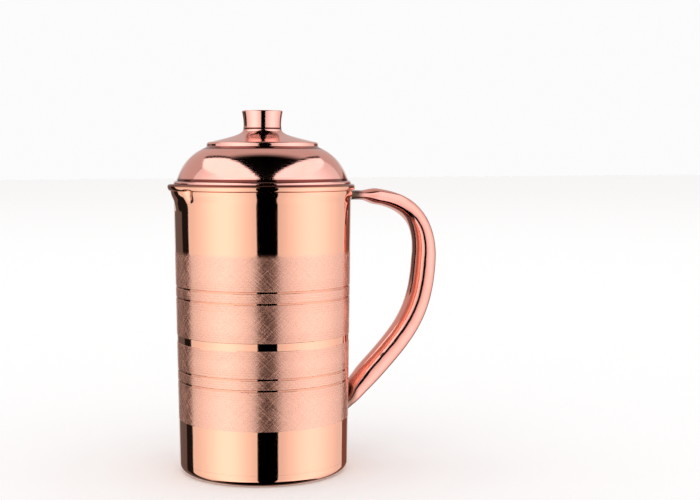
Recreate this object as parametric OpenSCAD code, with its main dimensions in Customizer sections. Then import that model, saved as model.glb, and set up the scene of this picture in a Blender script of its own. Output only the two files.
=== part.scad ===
// Lidded copper water jug. The tapered wall carries a pressed pouring lip and a wired rim; a pressed
// base pan closes it, a hollow ear-shaped handle stands opposite the lip, and a domed lid lifts off.
// The axis of the jug is Z, the base stands on z = 0, the handle is towards +X and the lip towards -X.

/* [Body] */
// Outside radius of the wall, carried down to the table
base_r = 47; // [40:0.5:60]
// Outside radius of the wall at the rim
rim_r = 49.2; // [44:0.1:64]
// Height of the rim's top above the table
rim_z = 159.9; // [130:0.1:220]
// Thickness of the sheet of the wall
wall_t = 0.8; // [0.6:0.1:1.5]
// Radius of the wire inside the rolled rim
rim_wire_r = 0.7; // [0.5:0.1:1.2]
// Height of the rolled rim's outside band
rim_band_h = 3.1; // [2.6:0.1:6]

/* [Turned bands] */
// Height of the lower line of the upper pair
upper_pair_z = 97.8; // [85:0.1:110]
// Height of the lower line of the lower pair
lower_pair_z = 51.8; // [40:0.1:62]
// Distance between the two lines of a pair
pair_gap = 6; // [3:0.5:9]
// Width of one turned line
line_w = 1.1; // [0.6:0.1:2]
// Height of the middle of the bright belt
belt_z = 75; // [68:0.1:82]
// Width of the bright belt
belt_w = 4.2; // [2:0.1:6]
// Depth of the turned lines and of the belt
line_depth = 0.12; // [0.05:0.01:0.25]

/* [Pouring lip] */
// How far the lip stands out from the wall at the rim
lip_reach = 2.4; // [2:0.1:6]
// Radius of the lip's round plan at the rim
lip_round_r = 22; // [16:0.5:28]
// Height of the lip, down from the rim
lip_h = 14.5; // [10:0.5:24]
// How much higher than the rest of the rim the lip stands
lip_rise = 0.3; // [0.2:0.05:0.8]

/* [Base pan] */
// Thickness of the sheet of the pan
pan_t = 1; // [0.6:0.1:1.6]
// Radius of the rounded bottom edge
pan_corner_r = 4.7; // [3:0.1:7]
// Height of the seam between the pan and the wall
seam_z = 6.6; // [6:0.1:12]
// Height of the pan's flange inside the wall
lap_h = 6; // [3:0.5:12]
// Width of the flat ring that the jug stands on
stand_ring_w = 6.3; // [3:0.1:12]
// How far the middle of the bottom is pressed up
panel_rise = 1.5; // [0.8:0.1:4]

/* [Handle] */
// Distance from the jug's axis to the middle of the handle's grip
grip_x = 100.6; // [92:0.2:115]
// Depth below the rim's top where the handle leaves the wall
handle_drop = 6.9; // [6:0.1:30]
// Height where the handle comes back to the wall
handle_foot_z = 36; // [30:0.5:50]
// Thickness of the sheet of the handle's halves
handle_t = 0.8; // [0.5:0.1:1.2]
// Thickness of the grip, in the plane of the handle
grip_t = 14; // [10:0.5:20]
// Width of the grip, across the plane of the handle
grip_w = 16.6; // [12:0.2:24]
// Thickness of the flattened neck at the top
neck_t = 4.8; // [3.6:0.1:8]
// Width of the flattened neck at the top
neck_w = 11.6; // [8:0.2:18]
// Thickness of the two foot plates
foot_t = 1.2; // [0.8:0.1:2.4]
// Width of the two foot plates
foot_w = 19; // [17:0.5:23]
// Height of the upper foot plate
upper_foot_h = 13.8; // [12:0.2:24]
// Height of the lower foot plate
lower_foot_h = 21; // [18:0.5:30]

/* [Lid] */
// Thickness of the sheet of the lid and its ring
lid_t = 0.8; // [0.5:0.1:1.2]
// Radius of the lid's rolled edge, across the roll
roll_r = 1.3; // [1.1:0.1:2]
// Height of the dome, from the lid's seat to the ridge
dome_h = 21; // [14:0.2:32]
// Radius of the ridge that crowns the dome
ridge_r = 30.9; // [24:0.1:38]
// Height of the neck, from the ridge's foot to the knob
neck_h = 10.3; // [8:0.1:16]
// Depth of the locating ring below the rim
ring_depth = 9.5; // [6:0.5:20]

/* [Knob] */
// Radius of the knob at its top
knob_r = 11.3; // [9:0.1:14]
// Radius of the knob's waist
waist_r = 10.2; // [8.6:0.1:12]
// Height of the knob above the neck
knob_h = 9.9; // [8:0.1:16]
// Thickness of the sheet of the knob
knob_t = 0.8; // [0.5:0.1:1.2]
// Radius of the screw's shank
screw_r = 2; // [1.5:0.1:2.5]
// Length of the screw's shank
screw_l = 8; // [6:0.5:9]
// Radius of the screw's head
head_r = 3.6; // [3:0.1:5]

/* [Hidden] */
$fn = 180;
// Film of filler metal in a brazed joint
braze_gap = 0.05;
// Running clearance of a loose fit or of a part that only rests
seat_gap = 0.05;
// Length of the closed corner where the rim's roll meets the lip's roll
corner_l = 4;
// Slack between the screw and the hole that it passes through
screw_slack = 0.2;
arc_n = 8;
curve_n = 14;

wall_top_z = rim_z - wall_t - rim_wire_r;
wire_x = rim_r + rim_wire_r;
rim_band_z = rim_z - rim_band_h;
lip_foot_z = rim_z - lip_h;
lip_x = rim_r + lip_reach - lip_round_r;
panel_r = wall_r(pan_corner_r) - pan_corner_r - stand_ring_w;
handle_top_z = rim_z - handle_drop;
// The lid is as wide as the wall, and its rolled edge rests on the rolled rim
lid_r = rim_r;
roll_x = lid_r - roll_r;
roll_in_r = roll_r - lid_t;
roll_z = wall_top_z + sqrt(pow(roll_r + wall_t + rim_wire_r + seat_gap, 2) - pow(wire_x - roll_x, 2));
seat_z = roll_z - roll_r;
dome_foot_r = roll_x - roll_in_r;
dome_foot_z = roll_z + roll_r + 0.5;
ring_r = roll_x - roll_r - braze_gap;
ridge_bead_r = 1.3;
ridge_z = seat_z + dome_h;
neck_top_z = ridge_z + neck_h;
neck_top_r = waist_r + 0.5;
knob_z = neck_top_z + seat_gap;
knob_top_z = knob_z + knob_h;
washer_t = 0.8;
washer_r = head_r + 1;
head_h = 2.4;
head_z = neck_top_z - lid_t - seat_gap - washer_t - seat_gap;
boss_r = screw_r + 2;
boss_top_z = knob_top_z - knob_t - braze_gap;
boss_z = knob_z + 0.5;
upper_foot_top = rim_band_z - 0.4;

// ---- outlines -------------------------------------------------------------------------------

// Points on an arc about c, from angle a0 to a1
function arc(c, r, a0, a1, n = arc_n) =
    [for (i = [0:n]) let (a = a0 + (a1 - a0) * i / n) c + r * [cos(a), sin(a)]];

// Points on the cubic curve with the control points p
function curve(p, n = curve_n) =
    [for (i = [0:n]) let (t = i / n, s = 1 - t)
        s * s * s * p[0] + 3 * s * s * t * p[1] + 3 * s * t * t * p[2] + t * t * t * p[3]];

function unit(v) = v / norm(v);
function left_of(v) = [-v[1], v[0]];
function reversed(p) = [for (i = [len(p) - 1:-1:0]) p[i]];

// A path without the points that repeat the one before them
function distinct(p) = [for (i = [0:len(p) - 1]) if (i == 0 || norm(p[i] - p[i - 1]) > 0.001) p[i]];

// The path moved sideways by d, to the left of its direction, with mitred corners
function beside(p, d) = let (n = len(p) - 1)
    [for (i = [0:n])
        let (a = left_of(unit(i > 0 ? p[i] - p[i - 1] : p[1] - p[0])),
             b = left_of(unit(i < n ? p[i + 1] - p[i] : p[n] - p[n - 1])),
             m = unit(a + b))
        p[i] + m * d / (m * a)];

// The section of a bent sheet: the path is one face, and the other lies d to its left
function sheet(p, d) = let (q = distinct(p)) concat(q, reversed(beside(q, d)));

// Outside radius of the wall at the height z
function wall_r(z) = base_r + (rim_r - base_r) * min(z, wall_top_z) / wall_top_z;

// ---- body -----------------------------------------------------------------------------------

// One turned line or belt on the outside of the wall
function turned(z, w) = let (lo = z - w / 2, hi = z + w / 2, d = line_depth)
    [[wall_r(lo), lo], [wall_r(lo) - d, lo + d], [wall_r(hi) - d, hi - d], [wall_r(hi), hi]];

turned_lines = concat(
    turned(lower_pair_z, line_w), turned(lower_pair_z + pair_gap, line_w),
    turned(belt_z, belt_w),
    turned(upper_pair_z, line_w), turned(upper_pair_z + pair_gap, line_w));

// Outside radius of the lip, about the lip's own axis, at the height z
function lip_r(z) = let (foot_r = wall_r(lip_foot_z) - lip_x)
    foot_r + (lip_round_r - foot_r) * (z - lip_foot_z) / (wall_top_z - lip_foot_z);

wall_face = concat([[wall_r(seam_z), seam_z]], turned_lines, [[rim_r, wall_top_z]]);
wall_back = [[wall_r(seam_z) - wall_t, seam_z - 1], [rim_r - wall_t, wall_top_z]];
lip_start_z = lip_foot_z - 2;
lip_face = [[lip_r(lip_start_z), lip_start_z], [lip_round_r, wall_top_z]];
lip_back = [for (p = lip_face) p - [wall_t, 0]];

// A disc round the middle of the wire, for a wall whose outside ends at the radius e
module roll_disc(e, r) translate([e + rim_wire_r, wall_top_z]) circle(r);

// The solid out to a wall's face, with nothing above the middle of the wire
module filled(face) polygon(concat([[0, face[0][1]]], face, [[0, wall_top_z]]));

// The solid out to a wall's face and its rolled rim
module filled_with_roll(face, e) {
    filled(face);
    roll_disc(e, rim_wire_r + wall_t);
    translate([0, wall_top_z]) square([e + rim_wire_r, rim_z - wall_top_z]);
    translate([0, rim_band_z]) square([e + 2 * rim_wire_r + wall_t, wall_top_z - rim_band_z]);
}

// The space inside a wall, up past the rim
module space_inside(back, e) {
    filled(back);
    difference() {
        translate([0, wall_top_z]) square([e + rim_wire_r, rim_z - wall_top_z + 1]);
        roll_disc(e, rim_wire_r + wall_t);
    }
}

// The hollow under the roll, where the wire lies
module hollow(e) {
    roll_disc(e, rim_wire_r);
    translate([e, rim_band_z - 1]) square([2 * rim_wire_r, wall_top_z - rim_band_z + 1]);
}

module about_lip() translate([-lip_x, 0, lip_rise]) rotate_extrude() children();

// Where the two rolls meet, as angles at the jug's axis and at the lip's
lip_wire_x = lip_round_r + rim_wire_r;
rim_meet = acos((wire_x * wire_x + lip_x * lip_x - lip_wire_x * lip_wire_x) / (2 * wire_x * lip_x));
lip_meet = acos((lip_wire_x * lip_wire_x + lip_x * lip_x - wire_x * wire_x) / (2 * lip_wire_x * lip_x));

// A section turned round a roll, all but an opening and a short way past both of its sides
module roll_arc(e, opening, past) {
    open = opening + past / (e + rim_wire_r) * 180 / PI;
    rotate_extrude(angle = 360 - 2 * open, start = open - 180) children();
}

// The same for the rim's own roll and for the lip's
module rim_arc(past) roll_arc(rim_r, rim_meet, past) children();
module lip_arc(past) translate([-lip_x, 0, lip_rise]) mirror([1, 0, 0])
    roll_arc(lip_round_r, lip_meet, past) children();

module body_wall() color("#d98a6a") difference() {
    union() {
        rotate_extrude() filled_with_roll(wall_face, rim_r);
        about_lip() filled_with_roll(lip_face, lip_round_r);
    }
    rotate_extrude() space_inside(wall_back, rim_r);
    about_lip() space_inside(lip_back, lip_round_r);
    rim_arc(corner_l) hollow(rim_r);
    lip_arc(corner_l) hollow(lip_round_r);
}

module rim_wire() color("#b87352") rim_arc(corner_l + braze_gap) roll_disc(rim_r, rim_wire_r - braze_gap);

module lip_wire() color("#b87352") lip_arc(corner_l + braze_gap) roll_disc(lip_round_r, rim_wire_r - braze_gap);

module base_pan() {
    corner = [wall_r(pan_corner_r) - pan_corner_r, pan_corner_r];
    lap_r = wall_t + braze_gap;
    bend = 0.8;
    path = concat(
        [[0, panel_rise], [panel_r - panel_rise, panel_rise], [panel_r, 0]],
        arc(corner, pan_corner_r, -90, 0),
        [[wall_r(seam_z), seam_z - braze_gap],
         [wall_r(seam_z) - lap_r, seam_z - braze_gap],
         [wall_r(seam_z + lap_h) - lap_r, seam_z + lap_h]]);
    inside = concat(
        [[0, panel_rise + pan_t], [panel_r - panel_rise + pan_t / 2, panel_rise + pan_t], [panel_r + pan_t / 2, pan_t]],
        arc(corner, pan_corner_r - pan_t, -90, 0),
        [[wall_r(seam_z) - lap_r - pan_t, seam_z - bend],
         [wall_r(seam_z + lap_h) - lap_r - pan_t, seam_z + lap_h]]);
    color("#cf7f60") rotate_extrude() polygon(concat(path, reversed(inside)));
}

// ---- handle ---------------------------------------------------------------------------------

// The middle line of the handle in its own plane: out over the top, down the grip and back
grip_top_z = handle_top_z - 35;
handle_in_r = wall_r(handle_top_z) + foot_t;
handle_low_r = wall_r(handle_foot_z) + foot_t;
handle_path = distinct(concat(
    curve([[handle_in_r, handle_top_z], [grip_x - 21.5, handle_top_z + 0.8],
           [grip_x + 0.4, handle_top_z - 6], [grip_x, grip_top_z]], 20),
    curve([[grip_x, grip_top_z], [grip_x - 1.6, handle_foot_z + 48], [grip_x - 11, handle_foot_z + 37.5],
           [handle_low_r + 14.2, handle_foot_z + 12.3]], 20),
    curve([[handle_low_r + 14.2, handle_foot_z + 12.3], [handle_low_r + 10.2, handle_foot_z + 8],
           [handle_low_r + 5, handle_foot_z + 3.4], [handle_low_r, handle_foot_z - 2.6]], 3)));

// Half thickness and half width at shares of the way along the handle: wall, neck, shoulder, grip, foot
handle_sizes = [
    [0, neck_t / 2 + 1.3, neck_w / 2 + 1.4],
    [0.035, neck_t / 2, neck_w / 2],
    [0.085, grip_t * 0.315, grip_w * 0.42],
    [0.25, grip_t * 0.37, grip_w * 0.46],
    [0.45, grip_t / 2, grip_w / 2],
    [0.88, grip_t / 2, grip_w / 2],
    [0.96, grip_t * 0.43, grip_w * 0.49],
    [1, grip_t * 0.36, grip_w * 0.47]];

// Length of the path up to its point i
function run(p, i) = i == 0 ? 0 : run(p, i - 1) + norm(p[i] - p[i - 1]);

// A soft step from 0 to 1
function smooth(t) = let (x = max(0, min(1, t))) x * x * (3 - 2 * x);

// The table's sizes at the share s, eased between its rows
function size_at(t, s, i = 0) = i >= len(t) - 2 || s <= t[i + 1][0]
    ? let (k = smooth((s - t[i][0]) / (t[i + 1][0] - t[i][0])))
        [t[i][1] + (t[i + 1][1] - t[i][1]) * k, t[i][2] + (t[i + 1][2] - t[i][2]) * k]
    : size_at(t, s, i + 1);

// Half of a rounded section, from its outer crest round the near side to its inner crest
section_n = 10;
roundness = 2.3;
function swell(c) = sign(c) * pow(abs(c), 2 / roundness);
function half_section(t, w, side) = [for (i = [0:section_n]) let (a = 90 - 180 * i / section_n)
    [t * swell(sin(a)), side * max(braze_gap / 2, w * swell(cos(a)))]];

// Radius of the outside of a foot plate at the height z
function foot_r(z) = wall_r(z) + braze_gap + foot_t;

// A point of the handle; at the two ends it is moved on to the face of the foot plate
function on_handle(i, q) = let (n = len(handle_path) - 1,
        along = unit(handle_path[min(i + 1, n)] - handle_path[max(i - 1, 0)]),
        p = handle_path[i] + left_of(along) * q[0])
    i == 0 || i == n
        ? [sqrt(pow(foot_r(p[1]) + braze_gap, 2) - q[1] * q[1]), q[1], p[1]]
        : [p[0], q[1], p[1]];

module handle_half(side) {
    n = len(handle_path);
    length = run(handle_path, n - 1);
    sizes = [for (i = [0:n - 1]) size_at(handle_sizes, run(handle_path, i) / length)];
    ring = 2 * (section_n + 1);
    points = [for (i = [0:n - 1])
        let (outer = half_section(sizes[i][0], sizes[i][1], side),
             inner = half_section(sizes[i][0] - handle_t, sizes[i][1] - handle_t, side))
        for (q = concat(outer, reversed(inner))) on_handle(i, q)];
    sides = [for (i = [0:n - 2], j = [0:ring - 1]) let (k = (j + 1) % ring,
            a = i * ring + j, b = i * ring + k, c = a + ring, d = b + ring)
        each side < 0 ? [[a, b, d], [a, d, c]] : [[a, d, b], [a, c, d]]];
    strip = [for (j = [0:section_n - 1]) each [[j, ring - 1 - j, ring - 2 - j], [j, ring - 2 - j, j + 1]]];
    far_end = (n - 1) * ring;
    caps = [for (f = strip) each [side < 0 ? f : reversed(f),
        [for (v = side < 0 ? reversed(f) : f) v + far_end]]];
    polyhedron(points = points, faces = concat(sides, caps));
}

module handle_near_half() color("#e29a7c") handle_half(-1);

module handle_far_half() color("#dc9073") handle_half(1);

// A plate that lies on the wall, rounded below, from z0 up to z0 + h
module foot_plate(z0, h) {
    corner = 2;
    round_r = foot_w / 2;
    intersection() {
        rotate_extrude(angle = 60, start = -30) polygon([
            [wall_r(z0 - 1) + braze_gap, z0 - 1],
            [foot_r(z0 - 1), z0 - 1],
            [foot_r(z0 + h + 1), z0 + h + 1],
            [wall_r(z0 + h + 1) + braze_gap, z0 + h + 1]]);
        rotate([90, 0, 90]) linear_extrude(base_r + rim_r) union() {
            intersection() {
                translate([0, z0 + round_r]) circle(round_r);
                translate([-foot_w, z0 - 1]) square([2 * foot_w, round_r + 1]);
            }
            for (s = [-1, 1]) translate([s * (round_r - corner), z0 + h - corner]) circle(corner);
            translate([-round_r, z0 + round_r]) square([foot_w, h - round_r - corner]);
            translate([corner - round_r, z0 + round_r]) square([foot_w - 2 * corner, h - round_r]);
        }
    }
}

module upper_foot_plate() color("#c97c5c") foot_plate(upper_foot_top - upper_foot_h, upper_foot_h);

module lower_foot_plate() color("#c97c5c") foot_plate(handle_foot_z + 0.8 - lower_foot_h / 2, lower_foot_h);

// ---- lid ------------------------------------------------------------------------------------

module lid_dome() {
    shoulder_r = 0.6;
    ridge_x = ridge_r - ridge_bead_r;
    ridge_top = ridge_z + 1.55;
    drop = ridge_z - dome_foot_z;
    reach = dome_foot_r - ridge_r;
    path = concat(
        [[screw_r + screw_slack, neck_top_z]],
        arc([neck_top_r - shoulder_r, neck_top_z - shoulder_r], shoulder_r, 90, 10, 4),
        curve([[neck_top_r, neck_top_z - shoulder_r - 0.1], [neck_top_r + 0.5, neck_top_z - 3.5],
               [neck_top_r + 9, ridge_top + ridge_bead_r + 2.5], [ridge_x, ridge_top + ridge_bead_r]]),
        arc([ridge_x, ridge_top], ridge_bead_r, 90, 0),
        arc([ridge_r + 0.9, ridge_z + 0.85], 0.9, 180, 238, 4),
        curve([[ridge_r + 0.6, ridge_z], [ridge_r + reach * 0.53, ridge_z - drop * 0.2],
               [ridge_r + reach * 0.836, ridge_z - drop * 0.52], [dome_foot_r, dome_foot_z]]),
        arc([roll_x, roll_z], roll_in_r, 180, 455, 14));
    color("#e39c80") rotate_extrude() polygon(sheet(path, -lid_t));
}

module lid_locating_ring() {
    color("#c47a5b") rotate_extrude()
        translate([ring_r - lid_t, rim_z - ring_depth]) square([lid_t, roll_z + roll_r - rim_z + ring_depth]);
}

module knob_shell() {
    edge_r = 0.6;
    path = concat(
        curve([[neck_top_r, knob_z], [waist_r, knob_z + knob_h * 0.2],
               [waist_r, knob_z + knob_h * 0.45], [knob_r, knob_top_z - edge_r]]),
        arc([knob_r - edge_r, knob_top_z - edge_r], edge_r, 0, 90, 5),
        [[0, knob_top_z]]);
    color("#e8a68b") rotate_extrude() polygon(concat(path,
        [[0, knob_top_z - knob_t], [knob_r - edge_r - knob_t, knob_top_z - knob_t]],
        reversed([for (p = curve([[neck_top_r, knob_z], [waist_r, knob_z + knob_h * 0.2],
               [waist_r, knob_z + knob_h * 0.45], [knob_r - 0.2, knob_top_z - edge_r - knob_t]]))
            p - [knob_t, 0]])));
}

module knob_boss() {
    blind = 0.8;
    color("#b8896a") difference() {
        translate([0, 0, boss_z]) cylinder(h = boss_top_z - boss_z, r = boss_r);
        translate([0, 0, boss_z - 1]) cylinder(h = boss_top_z - blind - boss_z + 1, r = screw_r + seat_gap);
    }
}

module knob_screw() {
    slot_w = 1;
    slot_d = 1.1;
    color("#c9a27c") difference() {
        union() {
            translate([0, 0, head_z - 0.6]) cylinder(h = 0.6 + screw_l, r = screw_r);
            rotate_extrude() polygon(concat([[0, head_z], [0, head_z - head_h]],
                arc([head_r - 1.2, head_z - head_h + 1.2], 1.2, 270, 360, 5), [[head_r, head_z]]));
        }
        translate([-head_r - 1, -slot_w / 2, head_z - head_h - 1]) cube([2 * head_r + 2, slot_w, slot_d + 1]);
    }
}

module knob_washer() {
    color("#bb8d6c") translate([0, 0, head_z + seat_gap]) difference() {
        cylinder(h = washer_t, r = washer_r);
        translate([0, 0, -1]) cylinder(h = washer_t + 2, r = screw_r + screw_slack);
    }
}

body_wall();
rim_wire();
lip_wire();
base_pan();
handle_near_half();
handle_far_half();
upper_foot_plate();
lower_foot_plate();
lid_dome();
lid_locating_ring();
knob_shell();
knob_boss();
knob_screw();
knob_washer();
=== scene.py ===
import math
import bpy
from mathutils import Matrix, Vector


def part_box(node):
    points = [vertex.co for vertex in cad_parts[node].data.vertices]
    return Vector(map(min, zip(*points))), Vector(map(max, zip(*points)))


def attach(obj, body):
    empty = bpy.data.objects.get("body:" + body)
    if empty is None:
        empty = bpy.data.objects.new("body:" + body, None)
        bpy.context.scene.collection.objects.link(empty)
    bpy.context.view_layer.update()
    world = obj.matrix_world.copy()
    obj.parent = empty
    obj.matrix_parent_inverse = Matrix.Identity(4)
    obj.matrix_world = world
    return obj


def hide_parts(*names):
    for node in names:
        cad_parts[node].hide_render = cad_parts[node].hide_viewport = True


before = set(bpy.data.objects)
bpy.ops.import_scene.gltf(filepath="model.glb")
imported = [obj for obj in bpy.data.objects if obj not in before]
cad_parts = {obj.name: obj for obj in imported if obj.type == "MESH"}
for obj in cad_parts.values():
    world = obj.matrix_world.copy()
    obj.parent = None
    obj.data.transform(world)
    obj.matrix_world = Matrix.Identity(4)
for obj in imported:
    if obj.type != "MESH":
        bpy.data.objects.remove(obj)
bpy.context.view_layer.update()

from types import SimpleNamespace

import bpy
import numpy as np
from mathutils import Vector

bl_info = {
    "name": "Lidded copper water jug",
    "version": (1, 0, 0),
    "blender": (4, 5, 0),
    "location": "3D View > Sidebar > Copper jug",
    "description": "Makes a copper water jug with a lip, turned bands, a hollow handle and a domed lid",
    "category": "Add Mesh",
}

MM = 0.001
TAU = 2 * math.pi


def box_mm(node):
    """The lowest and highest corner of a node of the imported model, in millimetres."""
    low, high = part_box(node)
    return np.array(low) / MM, np.array(high) / MM


WALL_LOW, WALL_HIGH = box_mm("body_wall")
WIRE_LOW, WIRE_HIGH = box_mm("rim_wire")
PAN_HIGH = box_mm("base_pan")[1]
DOME_LOW, DOME_HIGH = box_mm("lid_dome")
RING_LOW, RING_HIGH = box_mm("lid_locating_ring")
KNOB_LOW, KNOB_HIGH = box_mm("knob_shell")
TOP_FOOT_LOW, TOP_FOOT_HIGH = box_mm("upper_foot_plate")
LOW_FOOT_LOW, LOW_FOOT_HIGH = box_mm("lower_foot_plate")

# The sheet, the filler between brazed pieces, and the wire that the rim is rolled over
SHEET = 0.8
BRAZE_GAP = 0.05
WIRE_R = 0.7
ROLL_R = WIRE_R + SHEET
ROLL_X = WALL_HIGH[1] - ROLL_R
ROLL_Z = (WIRE_LOW[2] + WIRE_HIGH[2]) / 2
RIM_R = ROLL_X - WIRE_R
RIM_TOP = ROLL_Z + ROLL_R
BAND_HEIGHT = 3.1
BAND_Z = RIM_TOP - BAND_HEIGHT
SEAM_Z = WALL_LOW[2]
SEAM_R = PAN_HIGH[1]
# The way from the camera to the jug, and the way to the camera's right, as seen from above
HEADING = np.array([0.342, 0.940])
RIGHT = np.array([HEADING[1], -HEADING[0]])
# The camera's place in metres, its lens in millimetres, and how far it is turned and tipped in degrees
CAMERA_PLACE = (-0.244, -0.671, 0.1753)
CAMERA_LENS = 65.8
CAMERA_TURN = 3.89
CAMERA_TIP = 4.2
# Heights in metres where the light tent's walls start and end, and where its cards end
TENT_FOOT = -1.2
TENT_TOP = 0.88
CARD_TOP = 0.35
TENT_POINTS = 40


# ---- arrays ---------------------------------------------------------------------------------

def smooth(t):
    """A soft step: 0 below 0, 1 above 1, and three t squared less two t cubed between them."""
    t = np.clip(t, 0.0, 1.0)
    return t * t * (3 - 2 * t)


def soft_max(a, b, width):
    """The larger of a and b, rounded over a width where they cross."""
    mix = np.clip(0.5 + 0.5 * (a - b) / width, 0.0, 1.0)
    return b + (a - b) * mix + width * mix * (1 - mix)


def powered(wave, power):
    """A wave's size raised to a power, with its sign kept."""
    return np.sign(wave) * np.abs(wave) ** power


def arc(centre, radius, start, end, count=12):
    """Points on a circle, from start to end degrees: its centre plus the radius times cosine and sine."""
    angle = np.radians(np.linspace(start, end, count))
    return np.stack([centre[0] + radius * np.cos(angle), centre[1] + radius * np.sin(angle)], axis=1)


def cubic(points, count=30):
    """Points on the cubic curve with four control points, by its Bernstein weights."""
    t = np.linspace(0, 1, count)[:, None]
    a, b, c, d = (np.asarray(p, float) for p in points)
    return (1 - t) ** 3 * a + 3 * (1 - t) ** 2 * t * b + 3 * (1 - t) * t ** 2 * c + t ** 3 * d


def joined(*runs):
    """Several runs of points as one, without the points that repeat the one before."""
    points = np.concatenate([np.atleast_2d(np.asarray(run, float)) for run in runs])
    step = np.linalg.norm(np.diff(points, axis=0), axis=1)
    return points[np.concatenate([[True], step > 1e-4])]


def normals_of(points):
    """At each point of a path, the mitred normal to the left of its direction, and how much longer it is."""
    along = np.diff(points, axis=0)
    along /= np.linalg.norm(along, axis=1)[:, None]
    left = np.stack([-along[:, 1], along[:, 0]], axis=1)
    before = np.concatenate([left[:1], left])
    after = np.concatenate([left, left[-1:]])
    middle = before + after
    middle /= np.linalg.norm(middle, axis=1)[:, None]
    return middle, 1 / np.sum(middle * before, axis=1)[:, None]


def beside(points, distance):
    """The path moved sideways by distance, to the left of its direction, with mitred corners."""
    normal, longer = normals_of(points)
    return points + normal * longer * distance


def finer(points, step):
    """The path with each of its stretches cut in equal parts no longer than step."""
    length = np.linalg.norm(np.diff(points, axis=0), axis=1)
    parts = np.maximum(1, np.ceil(length / step)).astype(int)
    which = np.repeat(np.arange(len(length)), parts)
    share = (np.arange(parts.sum()) - np.repeat(np.cumsum(parts) - parts, parts)) / parts[which]
    inner = points[which] + (points[which + 1] - points[which]) * share[:, None]
    return np.concatenate([inner, points[-1:]])


def sheet_edge(face, back, count=7):
    """The half circle that rounds a sheet's edge, from the last point of its face to that of its back."""
    middle = (face + back) / 2
    start = math.degrees(math.atan2(*(face - middle)[::-1]))
    radius = np.linalg.norm(face - back) / 2
    return arc(middle, radius, start, start + 180, count)[1:-1]


# ---- meshes ---------------------------------------------------------------------------------

def grid_faces(rows, columns, close_rows=False):
    """Four-cornered faces between neighbouring points of a grid whose columns close on themselves."""
    i = np.arange(rows if close_rows else rows - 1)
    i, j = (a.ravel() for a in np.meshgrid(i, np.arange(columns), indexing="ij"))
    i2, j2 = (i + 1) % rows, (j + 1) % columns
    return np.stack([i * columns + j, i * columns + j2, i2 * columns + j2, i2 * columns + j], axis=1)


def fan_faces(pole, first, columns, flip):
    """Three-cornered faces from a pole to a closed ring of points that starts at the index first."""
    j = np.arange(columns)
    ring = [first + j, first + (j + 1) % columns]
    if flip:
        ring.reverse()
    return np.stack([np.full(columns, pole)] + ring, axis=1)


def stacked(rings, poles=None):
    """Closed rings of points, one above another, skinned with faces that point away from their axis.

    With two poles the stack is closed below and above by fans. With none the last ring joins the first.
    """
    rows, columns = rings.shape[:2]
    points = rings.reshape(-1, 3)
    faces = [grid_faces(rows, columns, close_rows=poles is None)]
    if poles is not None:
        first = len(points)
        points = np.concatenate([points, poles])
        faces.append(fan_faces(first, 0, columns, flip=True))
        faces.append(fan_faces(first + 1, (rows - 1) * columns, columns, flip=False))
    return points, faces


def turned(section, columns, bend=None):
    """A section turned round Z: radius times cosine and sine of the angle, and the height.

    The section runs anticlockwise in radius and height. If it starts and ends on the axis, it gets a pole
    at each end. bend gives radius and height anew from radius, height and angle.
    """
    poled = section[0, 0] < 1e-6
    rows = section[1:-1] if poled else section
    angle = np.arange(columns)[None, :] / columns * TAU
    radius = np.repeat(rows[:, :1], columns, axis=1)
    height = np.repeat(rows[:, 1:], columns, axis=1)
    if bend is not None:
        radius, height = bend(radius, height, angle)
    rings = np.stack([radius * np.cos(angle), radius * np.sin(angle), height], axis=2)
    return stacked(rings, np.array([[0, 0, section[0, 1]], [0, 0, section[-1, 1]]]) if poled else None)


def make_piece(name, surface, body, nodes, material, sharp=35.0, inside=None):
    """Puts a surface in a smooth mesh and ties the piece to its body, nodes and slot."""
    points, faces = surface
    mesh = bpy.data.meshes.new(name)
    corners = np.concatenate([f.ravel() for f in faces]).astype(np.int32)
    sizes = np.concatenate([np.full(len(f), f.shape[1]) for f in faces])
    mesh.vertices.add(len(points))
    mesh.vertices.foreach_set("co", (points * MM).astype(np.float32).ravel())
    mesh.loops.add(len(corners))
    mesh.loops.foreach_set("vertex_index", corners)
    mesh.polygons.add(len(sizes))
    mesh.polygons.foreach_set("loop_start", (np.cumsum(sizes) - sizes).astype(np.int32))
    mesh.polygons.foreach_set("use_smooth", np.ones(len(sizes), bool))
    if inside is not None:
        layer = mesh.attributes.new("inside", "FLOAT", "POINT")
        layer.data.foreach_set("value", inside.astype(np.float32))
    mesh.update(calc_edges=True)
    if mesh.validate():
        raise RuntimeError(f"{name} has faces that are not valid")
    mesh.set_sharp_from_angle(angle=math.radians(sharp))
    mesh.materials.append(material)
    piece = bpy.data.objects.new(name, mesh)
    bpy.context.scene.collection.objects.link(piece)
    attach(piece, body)
    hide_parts(*nodes)
    return piece


# ---- shapes of the body ---------------------------------------------------------------------

def wall_r(z):
    """Outside radius of the plain wall: a straight taper from the seam up to the rim."""
    return RIM_R + (SEAM_R - RIM_R) * (ROLL_Z - np.minimum(z, ROLL_Z)) / (ROLL_Z - SEAM_Z)


def swell(z, sizes):
    """How far the wall swells under the rolled rim: it rises softly and falls quickly."""
    rise = smooth((z - (BAND_Z - sizes.flare_height)) / (sizes.flare_height * 0.75))
    return sizes.flare * (rise - smooth((z - BAND_Z + 0.6) / 1.5))


def groove(middle, width, depth):
    """A flat-bottomed groove in the wall, with its two sides at 45 degrees."""
    low, high = middle - width / 2, middle + width / 2
    z = np.array([low, low + depth, high - depth, high])
    return np.stack([wall_r(z) - np.array([0, depth, depth, 0]), z], axis=1)


def line_heights(sizes):
    """Heights of the middles of the four polished lines."""
    return [pair + up for pair in (sizes.lower_pair, sizes.upper_pair) for up in (0, sizes.pair_gap)]


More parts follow.
